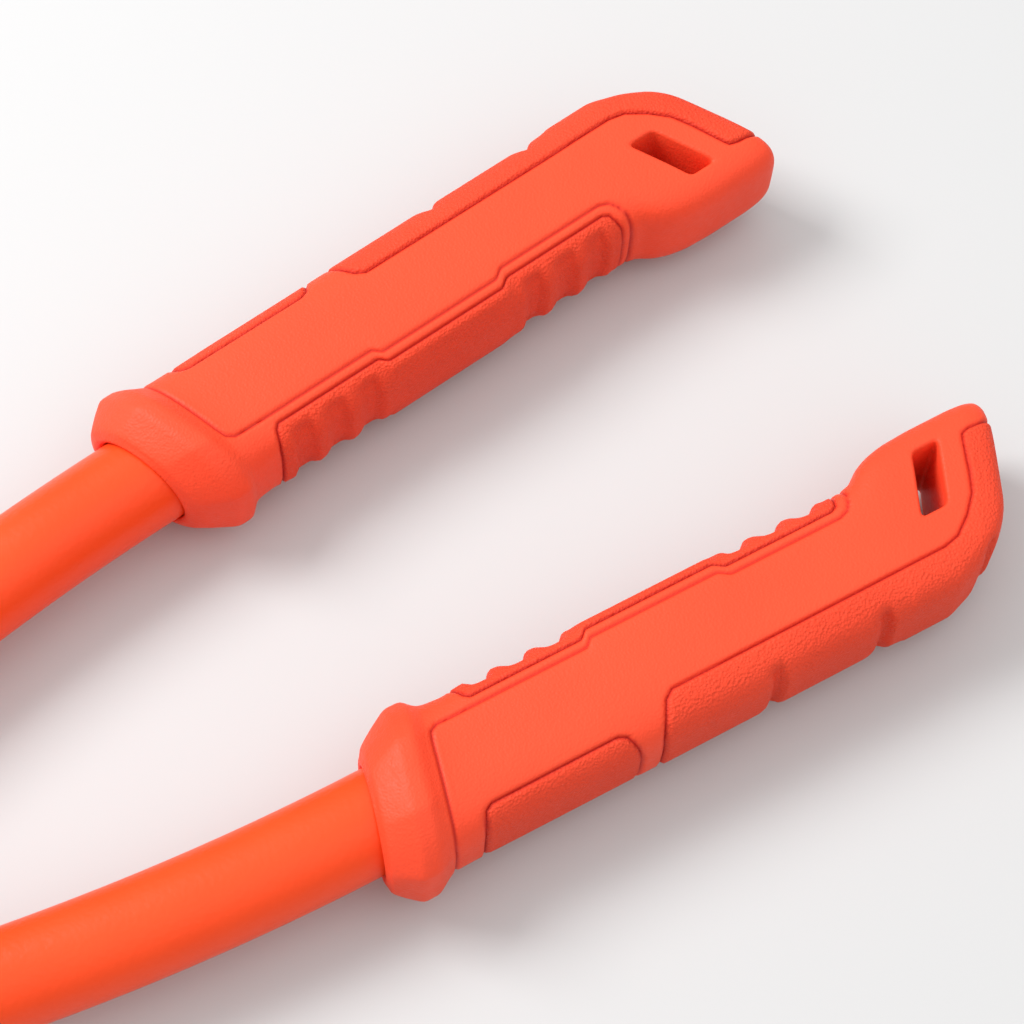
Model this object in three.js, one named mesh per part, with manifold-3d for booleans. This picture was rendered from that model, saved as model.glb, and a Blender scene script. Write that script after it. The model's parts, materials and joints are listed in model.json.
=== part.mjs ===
// Two-handed bolt cutter with compound jaws, lying flat with its jaws closed.
// Millimetres, +Z up. X runs from the jaws to the grips and Y = 0 is the line on which the two halves meet.
// "Right" is the +Y half and "left" the -Y half, as seen by a person who holds the grips.

import * as THREE from 'three';
import { mergeVertices } from 'three/addons/utils/BufferGeometryUtils.js';
import Module from 'manifold-3d';

const wasm = await Module();
wasm.setup();

// ---------------------------------------------------------------- driving dimensions

const GAP = 0.3; // clearance between pieces that touch, seat or turn on each other
const DEGREE = Math.PI / 180;

// Handles
const TUBE_DIAMETER = 28;
const TUBE_WALL = 2;
const GRIP_LENGTH = 209.5; // collar rim to the tip of the pommel
const GRIP_SPACING = 119.4; // between the two grip axes at the collar rims
const GRIP_SPLAY = 3.8 * DEGREE; // outward lean of each grip axis
const BEND_RADIUS = 714;
const BEND_ANGLE = 11.6 * DEGREE;
const BRACKET_REACH = 84; // centre pivot to the end of the tube, along the tube
const SPIGOT_LENGTH = 46; // bracket stub inside the tube

// Grip mouldings
const GRIP_SIDE_WALL = 6.3;
const GRIP_TOP_WALL = 2.2;
const EDGE_ROUND = 6; // rounding of the long edges, measured across the grip
const EDGE_DROP = 7; // the same rounding, measured down its height
const COLLAR_FLARE = 10.1; // ridge of the collar beyond the tube
const COLLAR_FLATTEN = 0.9; // height of the collar over its width
const COLLAR_SLANT = 0.26; // how far the collar leans along the grip, per unit across
const COLLAR_SIDES = 16;
const PALM_PAD_DEPTH = 2;
const FINGER_PAD_DEPTH = 3.6;
const PAD_TOP_DEPTH = 2;
const SCALLOP_PITCH = 11.4;
const SCALLOP_RADIUS = 9;
const SCALLOP_DEPTH = 1.9;
const SLOT_WIDTH = 8.6;
const SLOT_LENGTH = 19;
const SLOT_LEAN = 9; // offset along the grip between the two ends of the hanging slot

// Jaws and linkage
const JAW_THICKNESS = 13;
const JAW_REACH = 46; // jaw pivot to the tip
const JAW_PIVOT_SPACING = 28;
const JAW_ARM = 60; // jaw pivot to link pivot
const HANDLE_ARM = 28; // link pivot to centre pivot
const HANDLE_ARM_ANGLE = 66 * DEGREE; // of the handle arm to the centre line, jaws closed
const HANDLE_SWING = 38 * DEGREE; // of each handle, from closed to open
const STRAP_THICKNESS = 4;
const CHEEK_THICKNESS = 5;
const JAW_BOLT_DIAMETER = 12;
const LINK_BOLT_DIAMETER = 10;
const CENTRE_BOLT_DIAMETER = 12;
const CENTRE_FLOAT = 2.5; // extra clearance of the centre bolt in the right bracket's eye
const WASHER_THICKNESS = 1.8;
const STOP_SCREW_DIAMETER = 8;
const RIVET_DIAMETER = 6;

// ---------------------------------------------------------------- sizes that follow

const TUBE_RADIUS = TUBE_DIAMETER / 2;
const BORE_RADIUS = TUBE_RADIUS + GAP;
const SPIGOT_RADIUS = TUBE_RADIUS - TUBE_WALL - GAP;
const GRIP_HALF_WIDTH = BORE_RADIUS + GRIP_SIDE_WALL;
const GRIP_HALF_HEIGHT = BORE_RADIUS + GRIP_TOP_WALL;
const COLLAR_RADIUS = BORE_RADIUS + COLLAR_FLARE;
const SLOT_MIDDLE = GRIP_LENGTH - 28.2;
const TUBE_IN_GRIP = SLOT_MIDDLE - SLOT_LEAN - SLOT_WIDTH - 13;

const JAW_HALF = JAW_THICKNESS / 2;
const PLATE_BASE = JAW_HALF + GAP;
const BRACKET_HALF = PLATE_BASE + CHEEK_THICKNESS;
const JAW_BOLT_HEAD = 6;
const LINK_BOLT_HEAD = 5.5;
const CENTRE_BOLT_HEAD = 7.5;

const PIVOT_Y = JAW_PIVOT_SPACING / 2;
const CHEEK_RADIUS = LINK_BOLT_DIAMETER / 2 + 6.5;
const TAIL_RADIUS = LINK_BOLT_DIAMETER / 2 + 5.5;
const EYE_RADIUS = CENTRE_BOLT_DIAMETER / 2 + CENTRE_FLOAT + GAP + 6;
const LAP_RADIUS = EYE_RADIUS + CENTRE_FLOAT + 3 * GAP;
const SHANK_ANGLE = GRIP_SPLAY + BEND_ANGLE; // of the straight tube near the bracket

// Centre pivot: where the straight stretch of the tube meets the centre line.
const bendEnd = new THREE.Vector2(-BEND_RADIUS * Math.sin(BEND_ANGLE), -BEND_RADIUS * (1 - Math.cos(BEND_ANGLE)))
  .rotateAround(new THREE.Vector2(), GRIP_SPLAY)
  .add(new THREE.Vector2(0, GRIP_SPACING / 2));
const SHANK_LENGTH = bendEnd.y / Math.sin(SHANK_ANGLE);
const centrePivot = new THREE.Vector2(bendEnd.x - SHANK_LENGTH * Math.cos(SHANK_ANGLE), 0);

// Link pivot and jaw pivot of the right half, jaws closed.
const linkOffset = new THREE.Vector2(-HANDLE_ARM * Math.cos(HANDLE_ARM_ANGLE), HANDLE_ARM * Math.sin(HANDLE_ARM_ANGLE));
const linkPivot = centrePivot.clone().add(linkOffset);
const armRise = linkPivot.y - PIVOT_Y;
const armRun = Math.sqrt(JAW_ARM ** 2 - armRise ** 2);
const jawPivot = new THREE.Vector2(linkPivot.x - armRun, PIVOT_Y);

// Swing of each jaw while its handle opens, with the centre pivot kept on the centre line.
const openRise = HANDLE_ARM * Math.sin(HANDLE_ARM_ANGLE - HANDLE_SWING) - PIVOT_Y;
const JAW_SWING = Math.asin(armRise / JAW_ARM) - Math.asin(openRise / JAW_ARM);
const LINK_SWING = HANDLE_SWING + JAW_SWING;

// ---------------------------------------------------------------- materials

const finish = (color, roughness, metalness) => new THREE.MeshStandardMaterial({ color, roughness, metalness });
const materials = {
  gripOrange: finish(0xf45c30, 0.55, 0),
  padOrange: finish(0xee5528, 0.75, 0),
  paintOrange: finish(0xf04e1e, 0.35, 0),
  forgedSteel: finish(0x3b3d40, 0.5, 0.8),
  blackSteel: finish(0x26272a, 0.45, 0.7),
  zincSteel: finish(0xb4b8ba, 0.3, 1),
};

// ---------------------------------------------------------------- solids and outlines

function solidOf(geometry) {
  const bare = geometry.clone();
  bare.deleteAttribute('normal');
  bare.deleteAttribute('uv');
  const welded = mergeVertices(bare, 1e-4);
  const vertProperties = new Float32Array(welded.attributes.position.array);
  const triVerts = new Uint32Array(welded.index.array);
  return new wasm.Manifold(new wasm.Mesh({ numProp: 3, vertProperties, triVerts }));
}

function geometryOf(solid) {
  const mesh = solid.getMesh();
  const geometry = new THREE.BufferGeometry();
  geometry.setAttribute('position', new THREE.BufferAttribute(new Float32Array(mesh.vertProperties), 3));
  geometry.setIndex(new THREE.BufferAttribute(new Uint32Array(mesh.triVerts), 1));
  return geometry;
}

// The same shape on the other side of the centre line, with its faces still pointing out.
function mirrored(geometry) {
  const other = geometry.clone().scale(1, -1, 1);
  const index = other.index.array;
  for (let i = 0; i < index.length; i += 3) [index[i], index[i + 1]] = [index[i + 1], index[i]];
  return other;
}

const point = (x, y) => new THREE.Vector2(x, y);

function circlePoints(x, y, radius, sides = 28) {
  const step = (2 * Math.PI) / sides;
  return Array.from({ length: sides }, (_, i) =>
    point(x + radius * Math.cos(i * step), y + radius * Math.sin(i * step)));
}

// Outline of a band stretched round circles given as [x, y, radius].
function bandRound(circles) {
  const points = circles.flatMap(([x, y, radius]) => circlePoints(x, y, radius));
  points.sort((a, b) => a.x - b.x || a.y - b.y);
  const turn = (a, b, c) => (b.x - a.x) * (c.y - a.y) - (b.y - a.y) * (c.x - a.x);
  const chain = (list) => {
    const kept = [];
    for (const next of list) {
      while (kept.length > 1 && turn(kept.at(-2), kept.at(-1), next) <= 1e-6) kept.pop();
      kept.push(next);
    }
    return kept.slice(0, -1);
  };
  return [...chain(points), ...chain([...points].reverse())];
}

// Prism over an outline; a positive grow widens it and a positive round breaks its rims.
function prism(outline, low, high, { grow = 0, round = 0, drop = round, segments = 2 } = {}) {
  const rim = grow || round;
  const rise = grow ? grow : drop;
  const geometry = new THREE.ExtrudeGeometry(new THREE.Shape(outline), {
    depth: high - low - (rim ? 2 * rise : 0),
    curveSegments: 8,
    bevelEnabled: rim > 0,
    bevelSize: rim,
    bevelOffset: grow ? 0 : -rim,
    bevelThickness: rise,
    bevelSegments: grow ? 1 : segments,
  });
  return solidOf(geometry.translate(0, 0, low + (rim ? rise : 0)));
}

function cylinder(x, y, radius, low, high, sides = 20) {
  const geometry = new THREE.CylinderGeometry(radius, radius, high - low, sides);
  return solidOf(geometry.rotateX(Math.PI / 2).translate(x, y, (low + high) / 2));
}

// A hole whose flats, not its corners, keep the radius.
function hole(x, y, radius, low, high, sides = 20) {
  return cylinder(x, y, radius / Math.cos(Math.PI / sides), low, high, sides);
}

function box(x0, x1, y0, y1, z0, z1) {
  const geometry = new THREE.BoxGeometry(x1 - x0, y1 - y0, z1 - z0);
  return solidOf(geometry.translate((x0 + x1) / 2, (y0 + y1) / 2, (z0 + z1) / 2));
}

// Round bar or bore along +X from a point on the X axis.
function barAlongX(radius, from, to, sides = 24) {
  const geometry = new THREE.CylinderGeometry(radius, radius, to - from, sides);
  return solidOf(geometry.rotateZ(Math.PI / 2).translate((from + to) / 2, 0, 0));
}

// A solid turned about the origin by an angle seen from above.
const turned = (solid, angle) => solidOf(geometryOf(solid).rotateZ(angle));

// An outline whose corners are rounded, as a three.js shape.
function roundedShape(corners, radius) {
  const shape = new THREE.Shape();
  corners.forEach((corner, i) => {
    const before = corners.at(i - 1).clone().sub(corner);
    const after = corners[(i + 1) % corners.length].clone().sub(corner);
    const start = corner.clone().add(before.setLength(Math.min(radius, before.length() / 2)));
    const end = corner.clone().add(after.setLength(Math.min(radius, after.length() / 2)));
    if (i === 0) shape.moveTo(start.x, start.y);
    else shape.lineTo(start.x, start.y);
    shape.quadraticCurveTo(corner.x, corner.y, end.x, end.y);
  });
  return shape;
}

const BEYOND = 100; // far enough to pass every face of a piece that is cut

// ---------------------------------------------------------------- fasteners

const hexRadius = (acrossFlats) => acrossFlats / Math.sqrt(3);

// Hexagon head at the top, shank down to the far end. The rim of the head is broken.
function hexBolt(diameter, acrossFlats, seat, headHeight, end) {
  const head = prism(circlePoints(0, 0, hexRadius(acrossFlats), 6), seat, seat + headHeight, { round: 0.8, segments: 1 });
  return geometryOf(head.add(cylinder(0, 0, diameter / 2, end, seat + 1)));
}

function hexNut(diameter, acrossFlats, low, high) {
  const body = prism(circlePoints(0, 0, hexRadius(acrossFlats), 6), low, high, { round: 0.8, segments: 1 });
  return geometryOf(body.subtract(hole(0, 0, diameter / 2 + GAP, low - 1, high + 1)));
}

function washer(diameter, outer, low, high) {
  return geometryOf(cylinder(0, 0, outer, low, high, 28).subtract(hole(0, 0, diameter / 2 + GAP, low - 1, high + 1)));
}

function rivet() {
  const radius = RIVET_DIAMETER / 2;
  const headRadius = radius + 2.2;
  const crown = TUBE_RADIUS + GAP + 1.9;
  const profile = [[0, crown], [headRadius * 0.65, crown - 0.4], [headRadius, crown - 1.6], [headRadius, 0], [0, 0]];
  const dome = new THREE.LatheGeometry(profile.map(([r, h]) => point(r, h)).reverse(), 14).rotateX(Math.PI / 2);
  const heads = solidOf(dome).add(solidOf(dome.clone().rotateX(Math.PI)));
  const seats = heads.subtract(barAlongX(TUBE_RADIUS + GAP, -BEYOND, BEYOND, 40));
  return geometryOf(seats.add(cylinder(0, 0, radius, -crown + 1, crown - 1, 14)));
}

// ---------------------------------------------------------------- jaws

// In the jaw's own place: pivot at the origin, arm towards the link pivot, centre line at Y = -PIVOT_Y.
const PIVOT_BOSS = PIVOT_Y + 3;

// Prism along X over an outline given across (Y) and up (Z).
function prismAlongX(outline, from, to) {
  const geometry = new THREE.ExtrudeGeometry(new THREE.Shape(outline), { depth: to - from, bevelEnabled: false });
  const axes = [new THREE.Vector3(0, 1, 0), new THREE.Vector3(0, 0, 1), new THREE.Vector3(1, 0, 0)];
  return solidOf(geometry.applyMatrix4(new THREE.Matrix4().makeBasis(...axes)).translate(from, 0, 0));
}

function jaw() {
  const meeting = -PIVOT_Y + GAP / 2;
  const nose = bandRound([[0, 0, PIVOT_BOSS], [18 - JAW_REACH, -1, PIVOT_Y - 1], [5 - JAW_REACH, meeting + 5, 5]]);
  const tail = bandRound([[0, 0, PIVOT_BOSS], [armRun, armRise, TAIL_RADIUS]]);
  const throatX = -JAW_BOLT_DIAMETER / 2 - 4;
  const heelX = 2;
  const clearAngle = JAW_SWING + 4 * DEGREE;
  const wedgeEnd = JAW_ARM + BEYOND;
  const swingWedge = [
    point(heelX, meeting - BEYOND),
    point(heelX, meeting),
    point(wedgeEnd, meeting + (wedgeEnd - heelX) * Math.tan(clearAngle)),
    point(wedgeEnd, meeting - BEYOND),
  ];
  // Ground flanks leave a narrow land along the meeting line.
  const land = 0.5;
  const flankRise = 8;
  const flank = (sign) => prismAlongX([
    point(meeting - 1, sign * land),
    point(meeting, sign * land),
    point(meeting + flankRise, sign * (JAW_HALF + 1)),
    point(meeting - 1, sign * (JAW_HALF + 1)),
  ], -JAW_REACH - 1, throatX);
  return geometryOf(prism(nose, -JAW_HALF, JAW_HALF, { round: 1.2, segments: 1 })
    .add(prism(tail, -JAW_HALF, JAW_HALF, { round: 1.2, segments: 1 }))
    .subtract(box(-BEYOND, BEYOND, -BEYOND, meeting, -BEYOND, BEYOND))
    .subtract(prism(swingWedge, -BEYOND, BEYOND))
    .subtract(cylinder(throatX, meeting, 4, -BEYOND, BEYOND, 16))
    .subtract(flank(1))
    .subtract(flank(-1))
    .subtract(hole(0, 0, JAW_BOLT_DIAMETER / 2 + GAP, -BEYOND, BEYOND))
    .subtract(hole(armRun, armRise, LINK_BOLT_DIAMETER / 2 + GAP, -BEYOND, BEYOND)));
}

function strap(low, high) {
  const outline = bandRound([[0, PIVOT_Y, 12.5], [0, -PIVOT_Y, 12.5]]);
  const radius = JAW_BOLT_DIAMETER / 2 + GAP;
  return geometryOf(prism(outline, low, high, { round: 0.8, segments: 1 })
    .subtract(hole(0, PIVOT_Y, radius, low - 1, high + 1))
    .subtract(hole(0, -PIVOT_Y, radius, low - 1, high + 1)));
}

// ---------------------------------------------------------------- brackets

// In the right handle's place: centre pivot at the origin, centre line along X.
const alongShank = (distance) => point(distance * Math.cos(SHANK_ANGLE), distance * Math.sin(SHANK_ANGLE));
const STOP_HEAD = 4;
const STOP_NUT = 4;
const STOP_FACE = GAP / 2 + STOP_HEAD + GAP + STOP_NUT + GAP;
const STOP_DEPTH = 16;
const STOP_X = LAP_RADIUS + 10;
const RIVET_PLACES = [BRACKET_REACH + 12, BRACKET_REACH + 34];

// Room for the jaw's tail between the cheeks, at every angle that it reaches.
function tailSweep() {
  const steps = 8;
  const clear = 2 * GAP;
  let sweep = null;
  for (let i = 0; i <= steps; i += 1) {
    const arm = point(-armRun, -armRise).rotateAround(point(0, 0), (-LINK_SWING * i) / steps).add(linkOffset);
    const outline = bandRound([[arm.x, arm.y, PIVOT_BOSS + clear], [linkOffset.x, linkOffset.y, TAIL_RADIUS + clear]]);
    const tail = prism(outline, -PLATE_BASE, PLATE_BASE);
    sweep = sweep ? sweep.add(tail) : tail;
  }
  return sweep;
}

// The eye takes the upper half of the stack; the other bracket is the same forging turned over.
function bracket(centreClearance) {
  const shoulder = BRACKET_REACH - 16;
  const socket = alongShank(shoulder);
  const outline = bandRound([
    [0, 0, EYE_RADIUS],
    [linkOffset.x, linkOffset.y, CHEEK_RADIUS],
    [socket.x, socket.y, TUBE_RADIUS - 1],
  ]);
  const spigot = barAlongX(TUBE_RADIUS, shoulder, BRACKET_REACH - GAP)
    .add(barAlongX(SPIGOT_RADIUS, BRACKET_REACH - 1, BRACKET_REACH + SPIGOT_LENGTH));
  const stopBore = solidOf(geometryOf(hole(STOP_X, 0, STOP_SCREW_DIAMETER / 2 + GAP, 0, STOP_FACE + STOP_DEPTH + 1))
    .rotateX(-Math.PI / 2));
  // Opening turns this edge towards the centre line, so it is cut back by the swing and never meets the other half.
  const cutBack = HANDLE_SWING + 3 * DEGREE;
  const swingRelief = [
    point(0, 0),
    point(-BEYOND * Math.cos(cutBack), BEYOND * Math.sin(cutBack)),
    point(-2 * BEYOND, -BEYOND),
  ];
  let solid = prism(outline, -BRACKET_HALF, BRACKET_HALF, { round: 2, segments: 2 })
    .subtract(box(-BEYOND, BEYOND, -BEYOND, GAP / 2, -BEYOND, BEYOND))
    .subtract(prism(swingRelief, -BEYOND, BEYOND))
    .subtract(cylinder(0, 0, LAP_RADIUS, -BEYOND, GAP / 2, 32))
    .add(prism(circlePoints(0, 0, EYE_RADIUS), GAP / 2, BRACKET_HALF, { round: 1, segments: 1 }))
    .add(turned(spigot, SHANK_ANGLE))
    .subtract(box(STOP_X - 9, STOP_X + 11, -1, STOP_FACE, -BEYOND, BEYOND))
    .subtract(stopBore)
    .subtract(tailSweep())
    .subtract(hole(0, 0, CENTRE_BOLT_DIAMETER / 2 + centreClearance, -BEYOND, BEYOND))
    .subtract(hole(linkOffset.x, linkOffset.y, LINK_BOLT_DIAMETER / 2 + GAP, -BEYOND, BEYOND));
  for (const distance of RIVET_PLACES) {
    const place = alongShank(distance);
    solid = solid.subtract(hole(place.x, place.y, RIVET_DIAMETER / 2 + GAP, -BEYOND, BEYOND, 14));
  }
  return geometryOf(solid);
}

// Built upright, then laid along Y with its head at the centre line.
const layAlongY = (geometry) => geometry.rotateX(-Math.PI / 2).translate(STOP_X, 0, 0);

function stopScrew() {
  const head = cylinder(0, 0, 6.2, GAP / 2, GAP / 2 + STOP_HEAD, 20);
  return layAlongY(geometryOf(head.add(cylinder(0, 0, STOP_SCREW_DIAMETER / 2, GAP, STOP_FACE + STOP_DEPTH))));
}

function stopNut() {
  return layAlongY(hexNut(STOP_SCREW_DIAMETER, 13, GAP / 2 + STOP_HEAD + GAP, STOP_FACE - GAP));
}

// ---------------------------------------------------------------- tubes

// In the shank's place: the centre pivot at the origin and the straight stretch along X.
const gripOrigin = point(SHANK_LENGTH + BEND_RADIUS * Math.sin(BEND_ANGLE), -BEND_RADIUS * (1 - Math.cos(BEND_ANGLE)));

function tube() {
  const bendStart = new THREE.Vector3(SHANK_LENGTH, 0, 0);
  const tangents = new THREE.Vector3(SHANK_LENGTH + BEND_RADIUS * Math.tan(BEND_ANGLE / 2), 0, 0);
  const rim = new THREE.Vector3(gripOrigin.x, gripOrigin.y, 0);
  const inGrip = new THREE.Vector3(Math.cos(BEND_ANGLE), -Math.sin(BEND_ANGLE), 0).multiplyScalar(TUBE_IN_GRIP);
  const path = new THREE.CurvePath();
  path.add(new THREE.LineCurve3(new THREE.Vector3(BRACKET_REACH, 0, 0), bendStart));
  path.add(new THREE.QuadraticBezierCurve3(bendStart, tangents, rim));
  path.add(new THREE.LineCurve3(rim, rim.clone().add(inGrip)));
  const ring = new THREE.Shape(circlePoints(0, 0, TUBE_RADIUS, 20));
  ring.holes.push(new THREE.Path(circlePoints(0, 0, TUBE_RADIUS - TUBE_WALL, 16)));
  let solid = solidOf(new THREE.ExtrudeGeometry(ring, { steps: 20, extrudePath: path }));
  for (const distance of RIVET_PLACES) {
    solid = solid.subtract(hole(distance, 0, RIVET_DIAMETER / 2 + GAP, -BEYOND, BEYOND, 14));
  }
  return geometryOf(solid);
}

// ---------------------------------------------------------------- grips

// In the grip's place: the collar rim at the origin, X towards the pommel, Y outwards, away from the other grip.
const FACE_HALF = GRIP_HALF_WIDTH - EDGE_ROUND;
const FRONT_X = 14; // hidden inside the collar
const END = GRIP_LENGTH;

// Flat face of the grip inside its rounded edges: straight sides, an inward hook and a slanted end.
function faceShape() {
  const hookRise = FACE_HALF + 7.6;
  const shape = new THREE.Shape();
  shape.moveTo(FRONT_X, -FACE_HALF);
  shape.lineTo(END - 49, -FACE_HALF);
  shape.bezierCurveTo(END - 41, -FACE_HALF, END - 38, -hookRise + 1.4, END - 28, -hookRise + 0.6);
  shape.lineTo(END - 9, -hookRise);
  shape.quadraticCurveTo(END - 5.6, -hookRise, END - 6.6, -hookRise + 3.2);
  shape.lineTo(END - 17, 2.7);
  shape.quadraticCurveTo(END - 22.5, FACE_HALF - 1.4, END - 40, FACE_HALF);
  shape.lineTo(FRONT_X, FACE_HALF);
  return shape;
}

// The grip's block, taken in on every side by what a pad needs across and down.
function gripBlock(across = 0, down = 0) {
  const straight = 2 * (GRIP_HALF_HEIGHT - EDGE_DROP);
  const geometry = new THREE.ExtrudeGeometry(faceShape(), {
    depth: straight,
    curveSegments: 5,
    bevelSize: EDGE_ROUND - across,
    bevelThickness: EDGE_DROP - down,
    bevelSegments: 3,
  });
  return solidOf(geometry.translate(0, 0, -straight / 2));
}

// Flared ring at the front, broadest at a ridge, leaning back on its inner side.
function collar() {
  const rim = COLLAR_RADIUS - 6.4;
  const profile = [
    [0, 2], [rim, 2], [rim + 1, 3.2], [COLLAR_RADIUS, 10.5], [COLLAR_RADIUS, 16.5],
    [COLLAR_RADIUS - 2.8, 22], [COLLAR_RADIUS - 4.2, 27], [COLLAR_RADIUS - 7, 36], [0, 40],
  ];
  const geometry = new THREE.LatheGeometry(profile.map(([r, x]) => point(r, x)), COLLAR_SIDES)
    .rotateZ(-Math.PI / 2)
    .rotateX(Math.PI / COLLAR_SIDES)
    .scale(1, 1, COLLAR_FLATTEN)
    .applyMatrix4(new THREE.Matrix4().set(1, -COLLAR_SLANT, 0, 0, 0, 1, 0, 0, 0, 0, 1, 0, 0, 0, 0, 1));
  return solidOf(geometry);
}

// Pad edges on the face of the grip, as plan outlines that run well past the side they cover.
const WAY_OUT = GRIP_HALF_WIDTH + 40;
const FINGER_EDGE = -(GRIP_HALF_WIDTH - 6.6);
const PALM_EDGE = GRIP_HALF_WIDTH - 5.3;
const HEEL_EDGE = GRIP_HALF_WIDTH - 10.2;
const padOutlines = {
  finger_pad: [
    point(36.5, -WAY_OUT), point(38.2, FINGER_EDGE), point(71, FINGER_EDGE), point(75, FINGER_EDGE - 2),
    point(END - 94, FINGER_EDGE - 2), point(END - 89, FINGER_EDGE), point(END - 54, FINGER_EDGE),
    point(END - 52, -WAY_OUT),
  ],
  front_palm_pad: [
    point(25, WAY_OUT), point(27.1, PALM_EDGE), point(68.5, PALM_EDGE), point(73, PALM_EDGE + 6), point(73, WAY_OUT),
  ],
  rear_palm_pad: [
    point(76, WAY_OUT), point(79.2, PALM_EDGE + 4), point(85, HEEL_EDGE), point(END - 34, HEEL_EDGE),
    point(END - 20, 0.4), point(END - 12.5, -15), point(END + 10, -24), point(END + 40, WAY_OUT),
  ],
};

const padDepths = {
  finger_pad: FINGER_PAD_DEPTH,
  front_palm_pad: PALM_PAD_DEPTH,
  rear_palm_pad: PALM_PAD_DEPTH,
};

// Shallow hollows for three fingers at each end of the finger pad.
function scallops() {
  const centreY = -(GRIP_HALF_WIDTH - SCALLOP_DEPTH + SCALLOP_RADIUS);
  const starts = [45.5, END - 83.5];
  const places = starts.flatMap((start) => [0, 1, 2].map((i) => start + i * SCALLOP_PITCH));
  const cuts = places.map((x) => cylinder(x, centreY, SCALLOP_RADIUS, -BEYOND, BEYOND, 36));
  return cuts.reduce((all, cut) => all.add(cut));
}

function pad(name) {
  const covering = prism(padOutlines[name], -BEYOND, BEYOND);
  const solid = gripBlock().intersect(covering).subtract(gripBlock(padDepths[name] - GAP, PAD_TOP_DEPTH - GAP));
  return geometryOf(name === 'finger_pad' ? solid.subtract(scallops()) : solid);
}

function grip() {
  const lean = SLOT_LEAN / 2;
  const half = SLOT_WIDTH / 2;
  const inner = -SLOT_LENGTH / 2 - 8.2;
  const outer = SLOT_LENGTH / 2 - 8.2;
  const slot = roundedShape([
    point(SLOT_MIDDLE - lean - half, outer),
    point(SLOT_MIDDLE - lean + half, outer),
    point(SLOT_MIDDLE + lean + half, inner),
    point(SLOT_MIDDLE + lean - half, inner),
  ], 2);
  let solid = gripBlock().add(collar())
    .subtract(barAlongX(BORE_RADIUS / Math.cos(Math.PI / 24), -BEYOND, TUBE_IN_GRIP + GAP))
    .subtract(prism(slot.getPoints(4), -BEYOND, BEYOND));
  for (const [name, outline] of Object.entries(padOutlines)) {
    const pocket = prism(outline, -BEYOND, BEYOND, { grow: GAP }).subtract(gripBlock(padDepths[name], PAD_TOP_DEPTH));
    solid = solid.subtract(pocket);
  }
  return geometryOf(solid);
}

// ---------------------------------------------------------------- assembly

const tool = new THREE.Group();

function add(parent, name, geometry, material) {
  const mesh = new THREE.Mesh(geometry, materials[material]);
  mesh.name = name;
  parent.add(mesh);
  return mesh;
}

// Head: two straps carry both jaw bolts.
const head = new THREE.Group();
head.position.set(jawPivot.x, 0, 0);
tool.add(head);
const strapTop = PLATE_BASE + STRAP_THICKNESS;
add(head, 'top_strap', strap(PLATE_BASE, strapTop), 'blackSteel');
add(head, 'bottom_strap', strap(-strapTop, -PLATE_BASE), 'blackSteel');

const centreSeat = BRACKET_HALF + GAP + WASHER_THICKNESS + GAP;
const nutLow = (seat, height) => [-seat - height, -seat];

for (const [side, sign] of [['right', 1], ['left', -1]]) {
  const half = (geometry) => (sign > 0 ? geometry : mirrored(geometry));

  const jawBolt = hexBolt(JAW_BOLT_DIAMETER, 19, strapTop + GAP, JAW_BOLT_HEAD, -strapTop - JAW_BOLT_HEAD - 2);
  add(head, `${side}_jaw_bolt`, jawBolt, 'zincSteel').position.y = sign * PIVOT_Y;
  const jawNut = hexNut(JAW_BOLT_DIAMETER, 19, ...nutLow(strapTop + GAP, JAW_BOLT_HEAD));
  add(head, `${side}_jaw_nut`, jawNut, 'zincSteel').position.y = sign * PIVOT_Y;

  const jawPlace = new THREE.Group();
  jawPlace.position.set(jawPivot.x, sign * jawPivot.y, 0);
  tool.add(jawPlace);
  add(jawPlace, `${side}_jaw`, half(jaw()), 'forgedSteel');

  const handle = new THREE.Group();
  handle.position.set(centrePivot.x, 0, 0);
  tool.add(handle);
  const forging = bracket(sign > 0 ? GAP + CENTRE_FLOAT : GAP);
  add(handle, `${side}_bracket`, sign > 0 ? forging : forging.rotateX(Math.PI), 'blackSteel');
  const linkBolt = add(handle, `${side}_link_bolt`,
    hexBolt(LINK_BOLT_DIAMETER, 16, BRACKET_HALF + GAP, LINK_BOLT_HEAD, -BRACKET_HALF - LINK_BOLT_HEAD - 2), 'zincSteel');
  const linkNut = add(handle, `${side}_link_nut`,
    hexNut(LINK_BOLT_DIAMETER, 16, ...nutLow(BRACKET_HALF + GAP, LINK_BOLT_HEAD)), 'zincSteel');
  for (const mesh of [linkBolt, linkNut]) mesh.position.set(linkOffset.x, sign * linkOffset.y, 0);
  add(handle, `${side}_stop_screw`, half(stopScrew()), 'zincSteel');
  add(handle, `${side}_stop_nut`, half(stopNut()), 'zincSteel');

  const shank = new THREE.Group();
  shank.rotation.z = sign * SHANK_ANGLE;
  handle.add(shank);
  add(shank, `${side}_tube`, half(tube()), 'paintOrange');
  ['front', 'rear'].forEach((place, i) => {
    add(shank, `${side}_${place}_rivet`, rivet(), 'zincSteel').position.x = RIVET_PLACES[i];
  });

  const hand = new THREE.Group();
  hand.position.set(gripOrigin.x, sign * gripOrigin.y, 0);
  hand.rotation.z = -sign * BEND_ANGLE;
  shank.add(hand);
  add(hand, `${side}_grip`, half(grip()), 'gripOrange');
  for (const name of Object.keys(padOutlines)) add(hand, `${side}_${name}`, half(pad(name)), 'padOrange');
}

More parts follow.
